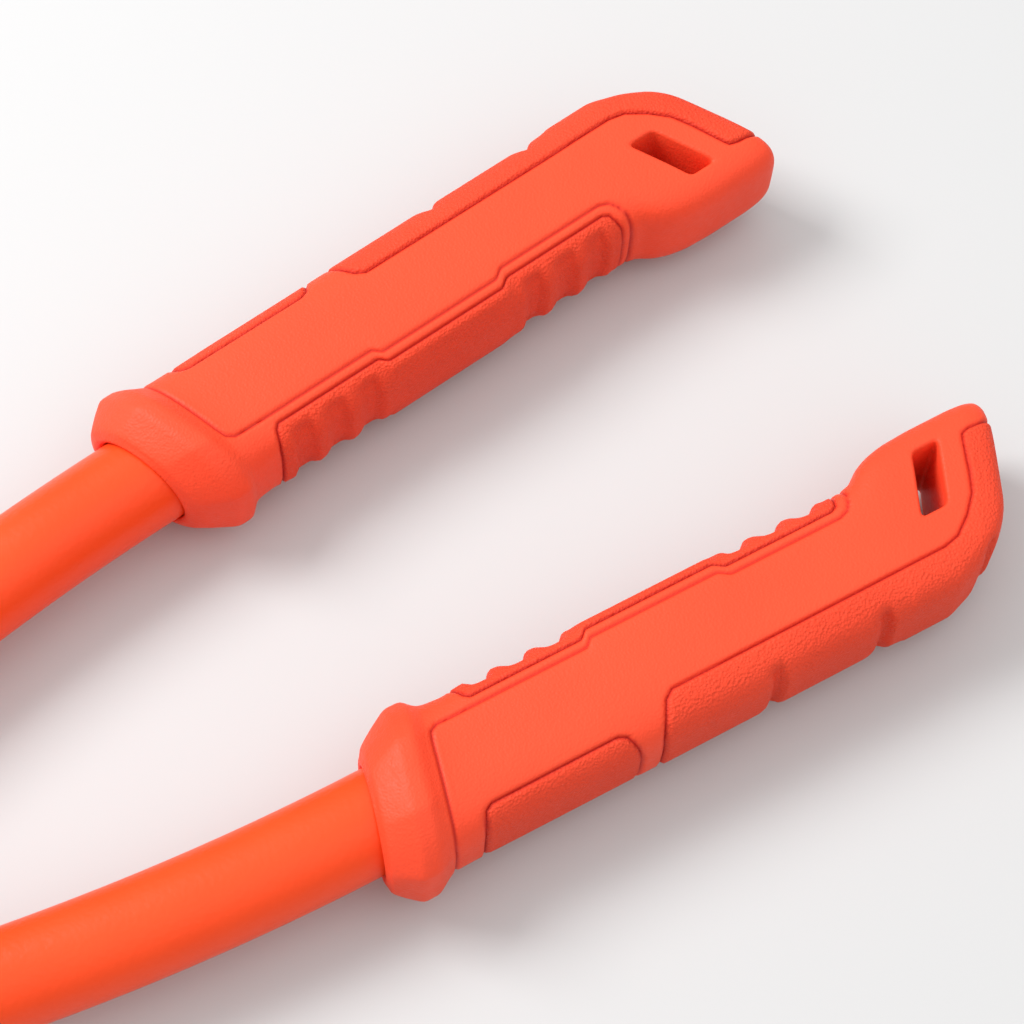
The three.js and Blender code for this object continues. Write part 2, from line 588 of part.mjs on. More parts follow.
// Centre pivot: one bolt through both eyes, with a washer under its head and its nut.
const centre = new THREE.Group();
centre.position.set(centrePivot.x, 0, 0);
tool.add(centre);
const centreEnd = -centreSeat - CENTRE_BOLT_HEAD;
add(centre, 'centre_bolt', hexBolt(CENTRE_BOLT_DIAMETER, 19, centreSeat, CENTRE_BOLT_HEAD, centreEnd), 'zincSteel');
add(centre, 'centre_nut', hexNut(CENTRE_BOLT_DIAMETER, 19, ...nutLow(centreSeat, CENTRE_BOLT_HEAD)), 'zincSteel');
const washerLow = BRACKET_HALF + GAP;
const washerHigh = washerLow + WASHER_THICKNESS;
add(centre, 'top_washer', washer(CENTRE_BOLT_DIAMETER, 13.5, washerLow, washerHigh), 'zincSteel');
add(centre, 'bottom_washer', washer(CENTRE_BOLT_DIAMETER, 13.5, -washerHigh, -washerLow), 'zincSteel');

// The origin is under the middle of the tool, on the surface that it lies on.
tool.updateMatrixWorld(true);
const bounds = new THREE.Box3().setFromObject(tool, true);
tool.position.set(-(bounds.min.x + bounds.max.x) / 2, 0, -bounds.min.z);

export default tool;
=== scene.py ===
# %% [markdown]
# # A two-handled bolt cutter
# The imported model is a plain, faceted frame: it gives every piece its place, its size and the body that it
# moves with. This notebook puts the finished surfaces round it. Blender works in metres, while a toolmaker
# thinks in millimetres, so the lengths of the tool are written in millimetres and scaled once, at the end.

import json
import math

import bmesh
import bpy
import numpy as np
from mathutils import Matrix, Vector

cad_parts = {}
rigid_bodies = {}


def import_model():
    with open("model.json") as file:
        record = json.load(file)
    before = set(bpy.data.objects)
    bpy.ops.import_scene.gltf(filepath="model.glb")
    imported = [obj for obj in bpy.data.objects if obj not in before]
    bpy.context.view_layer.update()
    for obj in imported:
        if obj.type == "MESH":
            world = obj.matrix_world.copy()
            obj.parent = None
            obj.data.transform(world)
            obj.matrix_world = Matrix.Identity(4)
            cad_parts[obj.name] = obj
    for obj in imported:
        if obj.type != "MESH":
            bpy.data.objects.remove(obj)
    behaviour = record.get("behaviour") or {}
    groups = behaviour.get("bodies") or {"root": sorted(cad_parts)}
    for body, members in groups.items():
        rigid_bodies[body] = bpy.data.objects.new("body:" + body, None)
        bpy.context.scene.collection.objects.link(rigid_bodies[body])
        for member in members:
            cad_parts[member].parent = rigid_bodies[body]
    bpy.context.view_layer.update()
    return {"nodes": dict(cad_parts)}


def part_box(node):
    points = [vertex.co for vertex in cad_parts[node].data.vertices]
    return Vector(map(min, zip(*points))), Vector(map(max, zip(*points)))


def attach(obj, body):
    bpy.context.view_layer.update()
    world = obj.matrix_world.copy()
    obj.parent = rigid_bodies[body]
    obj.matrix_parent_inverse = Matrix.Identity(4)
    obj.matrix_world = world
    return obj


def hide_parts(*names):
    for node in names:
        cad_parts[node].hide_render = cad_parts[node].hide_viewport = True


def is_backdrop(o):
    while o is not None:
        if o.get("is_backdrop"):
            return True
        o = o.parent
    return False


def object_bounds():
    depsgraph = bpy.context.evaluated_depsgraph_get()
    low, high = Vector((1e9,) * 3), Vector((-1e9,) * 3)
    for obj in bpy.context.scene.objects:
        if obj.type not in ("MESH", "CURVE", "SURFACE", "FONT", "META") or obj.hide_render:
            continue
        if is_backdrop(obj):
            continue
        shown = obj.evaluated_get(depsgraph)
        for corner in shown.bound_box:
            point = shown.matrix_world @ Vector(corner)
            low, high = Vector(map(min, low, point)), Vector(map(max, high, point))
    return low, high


for leftover in list(bpy.data.objects):
    bpy.data.objects.remove(leftover)
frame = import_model()
MM = 0.001

# %% [markdown]
# ## Where things are
# The washers and nuts of the frame sit on the pivots, so the middle of such a box is on its pivot. The
# handles leave the centre pivot on a straight slant, bend once, and end in the grips. A grip is easiest to
# shape when it lies along X with its collar's rim at the origin, so each handle gets a matrix that carries
# it from that bench position to its place. The left handle is the right one seen in a mirror.

# %% Pivots and places
GRIP_SPACING = 119.4
GRIP_SPLAY = math.radians(3.8)
BEND_RADIUS = 714.0
BEND_ANGLE = math.radians(11.6)
SHANK_ANGLE = GRIP_SPLAY + BEND_ANGLE
SIDES = {"right": 1, "left": -1}


def middle(node):
    low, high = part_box(node)
    return (low + high) / 2 / MM


centre_pivot = middle("top_washer")
MID_Z = middle("right_jaw")[2]
centre_pivot[2] = MID_Z
jaw_pivot = {side: Vector((*middle(f"{side}_jaw_nut")[:2], MID_Z)) for side in SIDES}

# The bend ends where the straight shank begins; from there the shank's own slant leads to the centre line.
bend_drop = BEND_RADIUS * (1 - math.cos(BEND_ANGLE))
bend_run = BEND_RADIUS * math.sin(BEND_ANGLE)
bend_end_y = GRIP_SPACING / 2 - bend_run * math.sin(GRIP_SPLAY) - bend_drop * math.cos(GRIP_SPLAY)
shank_length = bend_end_y / math.sin(SHANK_ANGLE)

shank_place = Matrix.Translation(centre_pivot) @ Matrix.Rotation(SHANK_ANGLE, 4, "Z")
grip_place = shank_place @ Matrix.Translation((shank_length + bend_run, -bend_drop, 0)) @ Matrix.Rotation(
    -BEND_ANGLE, 4, "Z"
) @ Matrix.Rotation(math.pi, 4, "X")
print("collar rim at", [round(c, 1) for c in grip_place.translation], "mm")

# %% [markdown]
# ## Materials
# Nothing here uses a picture. Each finish is grown from noise and cell patterns on Object coordinates,
# which on these pieces are metres in the tool's own frame, so a pebble of half a millimetre is a scale of
# about two thousand. Bump turns a pattern into relief, a second, slower noise shifts the colour a little as
# a real moulding does, and painted shade darkens the grooves of the grip, by a value stored on its corners.

# %% Helpers that wire a material
def new_material(name, colour, roughness, metallic=0.0):
    material = bpy.data.materials.new(name)
    material.use_nodes = True
    shader = material.node_tree.nodes["Principled BSDF"]
    shader.inputs["Base Color"].default_value = (*colour, 1)
    shader.inputs["Roughness"].default_value = roughness
    shader.inputs["Metallic"].default_value = metallic
    return material, shader


def add_node(material, kind, **settings):
    node = material.node_tree.nodes.new(kind)
    for key, value in settings.items():
        if key in node.inputs:
            node.inputs[key].default_value = value
        else:
            setattr(node, key, value)
    return node


def link(material, output, target):
    material.node_tree.links.new(output, target)


def pattern(material, kind, scale, **settings):
    """A noise or cell texture on Object coordinates."""
    place = add_node(material, "ShaderNodeTexCoord")
    texture = add_node(material, kind, Scale=scale, **settings)
    link(material, place.outputs["Object"], texture.inputs["Vector"])
    return texture


def ramp(material, value, stops):
    """Maps a 0 to 1 value through (position, grey or colour) stops."""
    node = add_node(material, "ShaderNodeValToRGB")
    while len(node.color_ramp.elements) < len(stops):
        node.color_ramp.elements.new(0.5)
    for element, (position, colour) in zip(node.color_ramp.elements, stops):
        element.position = position
        element.color = (*colour, 1) if isinstance(colour, tuple) else (colour, colour, colour, 1)
    link(material, value, node.inputs["Fac"])
    return node.outputs["Color"]


def bump(material, shader, heights):
    """Chains bumps, given as (height, strength, depth in millimetres), into the shader's normal."""
    last = None
    for height, strength, depth in heights:
        node = add_node(material, "ShaderNodeBump", Strength=strength, Distance=depth * MM)
        link(material, height, node.inputs["Height"])
        if last:
            link(material, last, node.inputs["Normal"])
        last = node.outputs["Normal"]
    link(material, last, shader.inputs["Normal"])


def blend_colours(material, factor, first, second):
    mix = add_node(material, "ShaderNodeMix", data_type="RGBA")
    for socket, colour in (("A", first), ("B", second)):
        if isinstance(colour, tuple):
            mix.inputs[socket].default_value = (*colour, 1)
        else:
            link(material, colour, mix.inputs[socket])
    link(material, factor, mix.inputs["Factor"])
    return mix.outputs["Result"]


def tint(material, shader, factor, first, second, painted_groove_shade=None):
    """Colour that drifts between two tones and, in the grooves of the skin, goes to a darker colour of painted shade.
    """
    colour = blend_colours(material, factor, first, second)
    if painted_groove_shade:
        # painted shade: the groove depth stored on the corners darkens the colour in the grooves
        depth = add_node(material, "ShaderNodeAttribute", attribute_name="painted_groove_shade")
        colour = blend_colours(material, depth.outputs["Fac"], colour, painted_groove_shade)
    link(material, colour, shader.inputs["Base Color"])


# %% [markdown]
# ### Orange moulding, orange rubber and orange powder coat
# All three are one orange. What tells them apart is relief and gloss: the grip's body has a shallow
# leather grain, its pads a coarse pebble, and the tubes a fine orange peel under a slightly shinier skin.

# %% The oranges
def moulded_orange():
    material, shader = new_material("moulded_orange", (0.88, 0.068, 0.024), 0.5)
    shader.inputs["Specular IOR Level"].default_value = 0.22
    grain = pattern(material, "ShaderNodeTexVoronoi", 1500, feature="SMOOTH_F1")
    waves = pattern(material, "ShaderNodeTexNoise", 420, Detail=4.0, Roughness=0.6)
    clouds = pattern(material, "ShaderNodeTexNoise", 28, Detail=3.0)
    bump(material, shader, [(grain.outputs["Distance"], 0.6, 0.22), (waves.outputs["Fac"], 0.3, 0.25)])
    # the last colour is painted shade, laid into the grooves of the grip
    tint(material, shader, clouds.outputs["Fac"], (0.84, 0.062, 0.022), (0.91, 0.076, 0.027), (0.5, 0.014, 0.008))
    link(material, ramp(material, waves.outputs["Fac"], [(0.3, 0.46), (0.7, 0.58)]), shader.inputs["Roughness"])
    return material


def pebbled_orange():
    material, shader = new_material("pebbled_orange", (0.8, 0.058, 0.02), 0.62)
    shader.inputs["Specular IOR Level"].default_value = 0.22
    pebbles = pattern(material, "ShaderNodeTexVoronoi", 1250, feature="F1", Randomness=1.0)
    grit = pattern(material, "ShaderNodeTexNoise", 2600, Detail=3.0)
    clouds = pattern(material, "ShaderNodeTexNoise", 40, Detail=3.0)
    bump(material, shader, [(pebbles.outputs["Distance"], 0.9, 0.36), (grit.outputs["Fac"], 0.5, 0.2)])
    # the last colour is painted shade, laid into the grooves round the pads
    tint(material, shader, clouds.outputs["Fac"], (0.74, 0.05, 0.018), (0.84, 0.066, 0.024), (0.4, 0.011, 0.007))
    link(material, ramp(material, pebbles.outputs["Distance"], [(0.1, 0.55), (0.8, 0.72)]),
         shader.inputs["Roughness"])
    return material


def powder_coat_orange():
    material, shader = new_material("powder_coat_orange", (0.9, 0.066, 0.01), 0.36)
    shader.inputs["Specular IOR Level"].default_value = 0.24
    peel = pattern(material, "ShaderNodeTexNoise", 900, Detail=2.0)
    orange_peel = pattern(material, "ShaderNodeTexVoronoi", 620, feature="SMOOTH_F1")
    clouds = pattern(material, "ShaderNodeTexNoise", 22, Detail=4.0)
    bump(material, shader, [(orange_peel.outputs["Distance"], 0.35, 0.2), (peel.outputs["Fac"], 0.35, 0.15)])
    tint(material, shader, clouds.outputs["Fac"], (0.86, 0.058, 0.009), (0.93, 0.074, 0.012))
    link(material, ramp(material, clouds.outputs["Fac"], [(0.35, 0.32), (0.65, 0.42)]), shader.inputs["Roughness"])
    return material


MOULDED = moulded_orange()
PEBBLED = pebbled_orange()
POWDER = powder_coat_orange()
print("oranges:", MOULDED.name, PEBBLED.name, POWDER.name)

# %% [markdown]
# ### Steels
# The brackets and straps are coated black, the jaws are forged and oxidised with ground cutting flanks, and
# the bolts are zinc plated. Each has its own grain and its own drift of gloss, as the coats really differ.

# %% The steels
def coated_black():
    material, shader = new_material("coated_black", (0.022, 0.023, 0.026), 0.42)
    shader.inputs["Specular IOR Level"].default_value = 0.32
    peel = pattern(material, "ShaderNodeTexNoise", 700, Detail=3.0)
    bump(material, shader, [(peel.outputs["Fac"], 0.5, 0.25)])
    clouds = pattern(material, "ShaderNodeTexNoise", 60, Detail=5.0)
    tint(material, shader, clouds.outputs["Fac"], (0.011, 0.0115, 0.013), (0.024, 0.025, 0.027))
    link(material, ramp(material, clouds.outputs["Fac"], [(0.3, 0.36), (0.7, 0.5)]), shader.inputs["Roughness"])
    return material


def forged_steel():
    material, shader = new_material("forged_oxide", (0.09, 0.092, 0.098), 0.48, 0.85)
    scale = pattern(material, "ShaderNodeTexNoise", 260, Detail=6.0, Roughness=0.65)
    pits = pattern(material, "ShaderNodeTexVoronoi", 480, feature="SMOOTH_F1")
    bump(material, shader, [(scale.outputs["Fac"], 0.3, 0.2), (pits.outputs["Distance"], 0.15, 0.15)])
    tint(material, shader, scale.outputs["Fac"], (0.05, 0.05, 0.055), (0.14, 0.142, 0.15))
    link(material, ramp(material, scale.outputs["Fac"], [(0.3, 0.38), (0.7, 0.58)]), shader.inputs["Roughness"])
    return material


def ground_steel():
    material, shader = new_material("ground_steel", (0.5, 0.51, 0.53), 0.28, 1.0)
    place = add_node(material, "ShaderNodeTexCoord")
    stretch = add_node(material, "ShaderNodeMapping", Scale=(6000, 150, 150))
    lines = add_node(material, "ShaderNodeTexNoise", Scale=1.0, Detail=2.0)
    link(material, place.outputs["Object"], stretch.inputs["Vector"])
    link(material, stretch.outputs["Vector"], lines.inputs["Vector"])
    bump(material, shader, [(lines.outputs["Fac"], 0.2, 0.05)])
    tint(material, shader, lines.outputs["Fac"], (0.34, 0.345, 0.36), (0.48, 0.49, 0.5))
    return material


def zinc_plate():
    material, shader = new_material("zinc_plate", (0.4, 0.405, 0.41), 0.34, 1.0)
    spangle = pattern(material, "ShaderNodeTexVoronoi", 420, feature="F1")
    clouds = pattern(material, "ShaderNodeTexNoise", 160, Detail=5.0)
    bump(material, shader, [(clouds.outputs["Fac"], 0.12, 0.1)])
    tint(material, shader, spangle.outputs["Distance"], (0.36, 0.365, 0.37), (0.27, 0.275, 0.275))
    link(material, ramp(material, clouds.outputs["Fac"], [(0.3, 0.4), (0.7, 0.56)]), shader.inputs["Roughness"])
    return material


BLACK = coated_black()
FORGED = forged_steel()
GROUND = ground_steel()
ZINC = zinc_plate()
print("steels:", BLACK.name, FORGED.name, GROUND.name, ZINC.name)

# %% [markdown]
# ## From bench to tool
# Every piece is shaped in millimetres on the bench and then carried to its place in one step, inside the
# mesh, so that its object stays at the origin. A mirrored copy is turned inside out by the mirror, and its
# faces are flipped back.

# %% The last step of every piece
FLAT_FACED = 45  # pieces whose sharp angle is below this have flat faces beside their bevels


def carry(bm, place, sign):
    bmesh.ops.transform(bm, matrix=Matrix.Scale(MM, 4) @ place, verts=bm.verts)
    if sign < 0:
        bmesh.ops.scale(bm, vec=(1, -1, 1), verts=bm.verts)
        bmesh.ops.reverse_faces(bm, faces=bm.faces)


def keep(name, bm, place, sign, body, nodes, materials, sharp=35):
    """Carries a finished bmesh to its place and makes it the piece that stands for the CAD nodes."""
    carry(bm, place, sign)
    mesh = bpy.data.meshes.new(name)
    bm.to_mesh(mesh)
    bm.free()
    mesh.shade_smooth()
    mesh.set_sharp_from_angle(angle=math.radians(sharp))
    piece = bpy.data.objects.new(name, mesh)
    bpy.context.scene.collection.objects.link(piece)
    for material in materials:
        mesh.materials.append(material)
    if sharp < FLAT_FACED:
        piece.modifiers.new("flat_faces", "WEIGHTED_NORMAL").keep_sharp = True
    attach(piece, body)
    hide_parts(*nodes)
    return piece


# %% [markdown]
# ## The grip's skin
# A grip is one flowing skin: round at the collar, squarish along the hand, and wide at the hooked pommel.
# Boxes and booleans would leave seams to hide, so the skin is a flat sheet of fine squares rolled into a
# sleeve. Its columns are stations along the grip and its rows run round it. At each station the section is a
# superellipse whose width, height and squareness come from a few listed stops with a smooth curve
# through them. Stations lean with the collar's rim and with the pommel's end, so folds and slot edges fall
# along the mesh.

# %% Smooth curves through a few stops
def smooth_curve(stops):
    """A curve through (position, value) stops that never overshoots them."""
    x, y = (np.array(column, float) for column in zip(*stops))
    run, rise = np.diff(x), np.diff(y)
    slope = rise / run
    tangent = np.zeros(len(x))
    tangent[0], tangent[-1] = slope[0], slope[-1]
    same_way = slope[:-1] * slope[1:] > 0
    harmonic = 2 * slope[:-1] * slope[1:] / np.where(same_way, slope[:-1] + slope[1:], 1)
    tangent[1:-1] = np.where(same_way, harmonic, 0)

    def value(at):
        at = np.clip(np.asarray(at, float), x[0], x[-1])
        i = np.clip(np.searchsorted(x, at, side="right") - 1, 0, len(x) - 2)
        t = (at - x[i]) / run[i]
        blend = t * t * (3 - 2 * t)
        bow = t * (1 - t) * run[i]
        return y[i] + blend * rise[i] + bow * ((1 - t) * tangent[i] - t * tangent[i + 1])

    return value


# %% The grip's profile, along U from the collar's rim
lean = smooth_curve([(0, 0.28), (22, 0.28), (40, 0), (155, 0), (172, 0.474), (201, 0.474)])
collar_edge = [(2, 17.4), (2.6, 18.8), (3.6, 19.7), (9.4, 23.4), (10.8, 24.2), (12.2, 24.4), (15.2, 24.3), (16.4, 23.8)]
inner_edge = smooth_curve([
    *collar_edge, (19.4, 21.8), (20.6, 21.3),
    (24, 20.7), (30, 20.3), (40, 20.9), (150, 20.9), (157.5, 20.2), (160.5, 20.9), (163.1, 24.3), (165.2, 26),
    (168.1, 27), (174.8, 27.4), (186, 27.4), (191.8, 27), (195.4, 26.2), (198.3, 24), (199.8, 20.8),
    (200.5, 17), (200.7, 14),
])
outer_edge = smooth_curve([
    *collar_edge, (19.4, 21.9), (20.6, 21.4),
    (24, 21), (30, 20.8), (80, 21), (150, 21.2), (182.3, 21.2), (188, 19.4), (191.6, 17.7), (196.5, 14.1),
    (199.2, 9.8), (200.4, 5.4), (200.7, 3),
])
half_height = smooth_curve([
    (2, 15.6), (2.6, 16.9), (3.6, 17.7), (9.4, 20.7), (10.8, 21.4), (12.2, 21.6), (15.2, 21.5), (16.4, 21),
    (19.4, 18.8), (20.6, 18.1),
    (24, 17.2), (30, 16.7), (40, 16.5), (190, 16.5), (195, 15.8), (198, 14.5), (199.8, 12.3), (200.7, 9),
])
squareness = smooth_curve([(2, 2.1), (14, 2.2), (20, 2.7), (30, 3.2), (40, 3.4), (150, 3.4), (168, 4.4), (201, 4.6)])
facets = smooth_curve([(0, 0), (3, 0.2), (9, 0.45), (15, 0.42), (19, 0.15), (22, 0), (201, 0)])
print("widest at the hook:", round(float(inner_edge(186) + outer_edge(182)), 1), "mm")


# %% Stations and rows of the sheet
def steps(*legs):
    """Positions that run through (end, spacing) legs."""
    places = [legs[0][0]]
    for end, spacing in legs[1:]:
        count = max(1, round(abs(end - places[-1]) / spacing))
        places += list(np.linspace(places[-1], end, count + 1)[1:])
    return places


SLOT_LOW, SLOT_HIGH = 172.4, 182.6
stations = steps(
    (2, 0), (4, 0.5), (19, 1), (24, 0.5), (34, 1), (39.6, 0.7), (74.4, 0.9), (78, 0.6), (90, 0.9), (150, 1),
    (SLOT_LOW - 4, 0.7), (SLOT_LOW, 0.5), (SLOT_HIGH, 0.86), (SLOT_HIGH + 4, 0.5), (196, 0.7), (199.2, 0.4),
    (200.7, 0.19),
)
SLOT_INNER, SLOT_OUTER = 0.7, -0.035  # rows that run along the slot's short ends, as shares of the width
CORNER = 0.94  # the face's rows reach this share of the width, and the wall's rows go on from there
face_rows = steps(
    (CORNER, 0), (0.8, 0.023), (SLOT_INNER, 0.022), (0.49, 0.022), (0.2, 0.03), (SLOT_OUTER, 0.03), (-0.44, 0.03),
    (-0.56, 0.02), (-0.68, 0.03), (-0.8, 0.022), (-CORNER, 0.023),
)
wall_rows = steps((0.95, 0), (-0.95, 0.05))
print(len(stations), "stations and", 2 * (len(face_rows) + len(wall_rows)), "rows")

# %% [markdown]
# ## Grooves, pads and hollows
# The skin carries the lines between its mouldings: a groove that runs round the collar and then along the
# face, and the outlines of the finger pad and the two palm pads. Each line is a few corners in plan, and a
# point of the skin sinks by its distance to the nearest line, which makes a soft groove of even width. The
# pads stand a little proud, the finger pad has six hollows, and the rear palm pad has three short notches.

# %% Lines in plan: U along the grip, V towards the other handle
JOG = 2.2


def smoothstep(x, low, high):
    t = np.clip((x - low) / (high - low), 0, 1)
    return t * t * (3 - 2 * t)


def jog(u, v):
    """How far the long lines of the face step aside over the middle of the grip."""
    here = smoothstep(u, 72.3, 75.5) - smoothstep(u, 114.6, 118.8)
    return JOG * here * smoothstep(v, 4, 8) * (1 - smoothstep(v, 15.2, 20.6))


FAR = 60
face_line = [
    (15.6, -FAR), (15.6, -20.6), (23.3, 7), (24.4, 9.6), (26.6, 10.9), (153.6, 10.9), (156.6, 12), (158.4, 14.6),
    (159.6, 18), (160, FAR),
]
pad_lines = {
    "finger_pad": [(35.2, FAR), (35.6, 20), (37.2, 15.4), (38.6, 14), (152.6, 14), (154.6, 15), (156.4, 19),
                   (156.6, FAR)],
    "front_palm_pad": [(23.8, -FAR), (24.2, -21.6), (26.6, -16.4), (28.6, -15.3), (67, -15.3), (69.6, -16.4),
                       (72.6, -21.4), (73, -FAR)],
    "rear_palm_pad": [(79, -FAR), (79.4, -20.4), (83.8, -12.4), (86.6, -10.5), (174, -10.5), (179, -9.4),
                      (184.6, -5.4), (189.7, -0.2), (192.6, 5.6), (196.2, 14.2), (197.6, 16.8), (200, 17.4),
                      (FAR + 200, 17.6), (FAR + 200, -FAR)],
}


def sides_of(line):
    return list(zip(line, line[1:]))


def distance_to(line, u, v):
    best = np.full(u.shape, 1e9)
    for (u0, v0), (u1, v1) in sides_of(line):
        du, dv = u1 - u0, v1 - v0
        t = np.clip(((u - u0) * du + (v - v0) * dv) / (du * du + dv * dv), 0, 1)
        best = np.minimum(best, np.hypot(u - u0 - t * du, v - v0 - t * dv))
    return best


def inside(line, u, v):
    """True where a point lies inside the outline, by counting the edges to one side of it."""
    odd = np.zeros(u.shape, bool)
    for (u0, v0), (u1, v1) in sides_of(line + line[:1]):
        if v0 != v1:
            odd ^= ((v0 > v) != (v1 > v)) & (u < u0 + (v - v0) * (u1 - u0) / (v1 - v0))
    return odd


print({name: len(line) for name, line in pad_lines.items()})

# %% Reliefs of the skin, in millimetres below it
GROOVE_DEPTH = 0.85
GROOVE_WIDTH = 0.55
PAD_PROUD = 0.3
HOLLOW_PITCH = 11.4
HOLLOW_DEPTH = 2.3
HOLLOW_ROWS = (39.6, 120.4)
NOTCHES = (115.8, 150.6, 187.2)
HOLLOWS_IN_A_ROW = 3
NOTCH_DEPTH = 1.35
hollow_shape = smooth_curve([
    (0, 1), (0.08, 0.96), (0.2, 0.22), (0.29, 0), (0.42, 0.05), (0.64, 0.5), (0.82, 0.97), (1, 1),
])
notch_shape = smooth_curve([(-5, 0), (-2.9, 0.35), (-1.3, 1.3), (-0.4, 1.9), (1.1, 1.9), (1.7, 0.7), (2.4, 0)])


def groove(distance):
    return GROOVE_DEPTH * np.exp(-((distance / GROOVE_WIDTH) ** 2))


def relief(u, v, z):
    """u, v and z of points of the plain skin, with v before the jog."""
    depth = groove(distance_to(face_line, u, v))
    for line in pad_lines.values():
        away = distance_to(line, u, v)
        depth = np.maximum(depth, groove(away))
        depth -= PAD_PROUD * np.where(inside(line, u, v), np.clip(away / 0.9, 0, 1), 0)
    for first in HOLLOW_ROWS:
        turn = (u - first) / HOLLOW_PITCH
        here = smoothstep(turn, 0, 0.12) * (1 - smoothstep(turn, HOLLOWS_IN_A_ROW - 0.1, HOLLOWS_IN_A_ROW + 0.02))
        on_wall = (1 - smoothstep(np.abs(z), 10.5, 15.4)) * smoothstep(v, 15.6, 18.2)
        depth += HOLLOW_DEPTH * hollow_shape((turn + 0.5) % 1) * here * on_wall
    for middle_u in NOTCHES:
        on_wall = (1 - smoothstep(np.abs(z), 10, 14.5)) * smoothstep(-v, 9, 15)
        depth += NOTCH_DEPTH * notch_shape(u - middle_u) * on_wall
    return depth


def painted_groove_shade_of(u, v, z):
    """How deep in a groove a point lies, from 0 to 1, for the painted shade in the colour."""
    away = np.min([distance_to(line, u, v) for line in [face_line, *pad_lines.values()]], axis=0)
    return np.exp(-((away / (0.75 * GROOVE_WIDTH)) ** 2))


print("deepest relief:", round(float(relief(np.array([45.4]), np.array([20.8]), np.array([0.0]))[0]), 2), "mm")

# %% [markdown]
# ## Rolling the sheet
# The flat sheet has its columns at the stations and its rows round the section. Rolled up and merged at its
# seam, it is the plain skin. The pads' outlines are then cut into it, so that every pad ends on clean edges.

# %% Rows round the section
def row_places():
    """Every row as (kind, p, q): on the face p is its share of the half width, on a wall q runs from edge to edge."""
    top = [("face", p, 1) for p in face_rows]
    outer = [("wall", -1, q) for q in wall_rows]
    bottom = [("face", p, -1) for p in reversed(face_rows)]
    inner = [("wall", 1, q) for q in reversed(wall_rows)]
    return top + outer + bottom + inner


ROWS = row_places()


def section_points(row, base):
    """Plain skin of one row at the stations in base, as (u, v, z)."""
    kind, p, q = ROWS[row]
    n = squareness(base)
    if kind == "face":
        side, height = np.full(len(base), float(p)), q * (1 - abs(p) ** n) ** (1 / n)
    else:
        height = q * (1 - CORNER ** n) ** (1 / n)
        side = p * (1 - np.abs(height) ** n) ** (1 / n)
    turn = (np.arctan2(height, side) + math.pi / 8) % (math.pi / 4) - math.pi / 8
    swell = 1 + facets(base) * (1 / np.cos(turn) - 1)
    v = side * swell * np.where(side > 0, inner_edge(base), outer_edge(base))
    return np.stack([base + lean(base) * v, v, height * swell * half_height(base)], axis=1)


def rolled_sheet():
    base = np.array(stations)
    rows = [section_points(row, base) for row in range(len(ROWS))]
    bm = bmesh.new()
    marks = bm.verts.layers.int.new("sheet")
    bmesh.ops.create_grid(bm, x_segments=len(base) - 1, y_segments=len(rows), size=1)
    order = sorted(bm.verts, key=lambda vert: (round(vert.co.y, 5), round(vert.co.x, 5)))
    for index, vert in enumerate(order):
        row, column = divmod(index, len(base))
        vert[marks] = (row % len(rows)) * 1000 + column
        vert.co = rows[row % len(rows)][column]
    seam = [vert for index, vert in enumerate(order) if index // len(base) in (0, len(rows))]
    bmesh.ops.remove_doubles(bm, verts=seam, dist=1e-4)
    bmesh.ops.recalc_face_normals(bm, faces=bm.faces)
    return bm


skin = rolled_sheet()
print("plain skin:", len(skin.verts), "vertices,", len(skin.faces), "faces")

# %% [markdown]
# ### The hanging slot
# A block of squares comes out of the top and of the bottom. The edge of each opening is pulled into a
# rounded parallelogram, then run inwards and down in a few short steps for a moulded rim, and the two rims
# are bridged for the wall.

# %% Cut the slot
SLOT_ROUND = 2.4
RIM = ((0.12, 0.05), (0.42, 0.22), (0.7, 0.52), (0.85, 0.95))  # how far in and how far down each step goes


def nearest(values, value):
    return int(np.argmin(np.abs(np.array(values) - value)))


def slot_point(vert, inset, drop):
    """Where a corner of the slot's edge goes, inside the rounded parallelogram."""
    low = Vector((SLOT_LOW, SLOT_OUTER * float(outer_edge(SLOT_LOW))))
    high = Vector((SLOT_HIGH, SLOT_INNER * float(inner_edge(SLOT_HIGH))))
    centre, half = (low + high) / 2, (high - low) / 2
    slant = float(lean(SLOT_LOW))
    flat = Vector((vert.co.x - slant * vert.co.y, vert.co.y)) - centre
    anchor = Vector([max(SLOT_ROUND - h, min(h - SLOT_ROUND, f)) for f, h in zip(flat, half)])
    away = flat - anchor
    if away.length < 1e-6:
        return vert.co.copy()
    spot = centre + anchor + away.normalized() * (SLOT_ROUND - inset)
    side = 1 if vert.co.z > 0 else -1
    return Vector((spot.x + slant * spot.y, spot.y, vert.co.z - side * drop))


def ring_edges(faces):
    inside_faces = set(faces)
    return [edge for edge in {e for face in faces for e in face.edges}
            if sum(f in inside_faces for f in edge.link_faces) == 1]


def extrude_ring(bm, edges, place):
    """Extrudes an open ring of edges once and puts each new corner at place(corner)."""
    made = bmesh.ops.extrude_edge_only(bm, edges=edges)["geom"]
    fresh = {item for item in made if isinstance(item, bmesh.types.BMVert)}
    for vert in fresh:
        vert.co = place(vert)
    return [item for item in made if isinstance(item, bmesh.types.BMEdge) and set(item.verts) <= fresh]


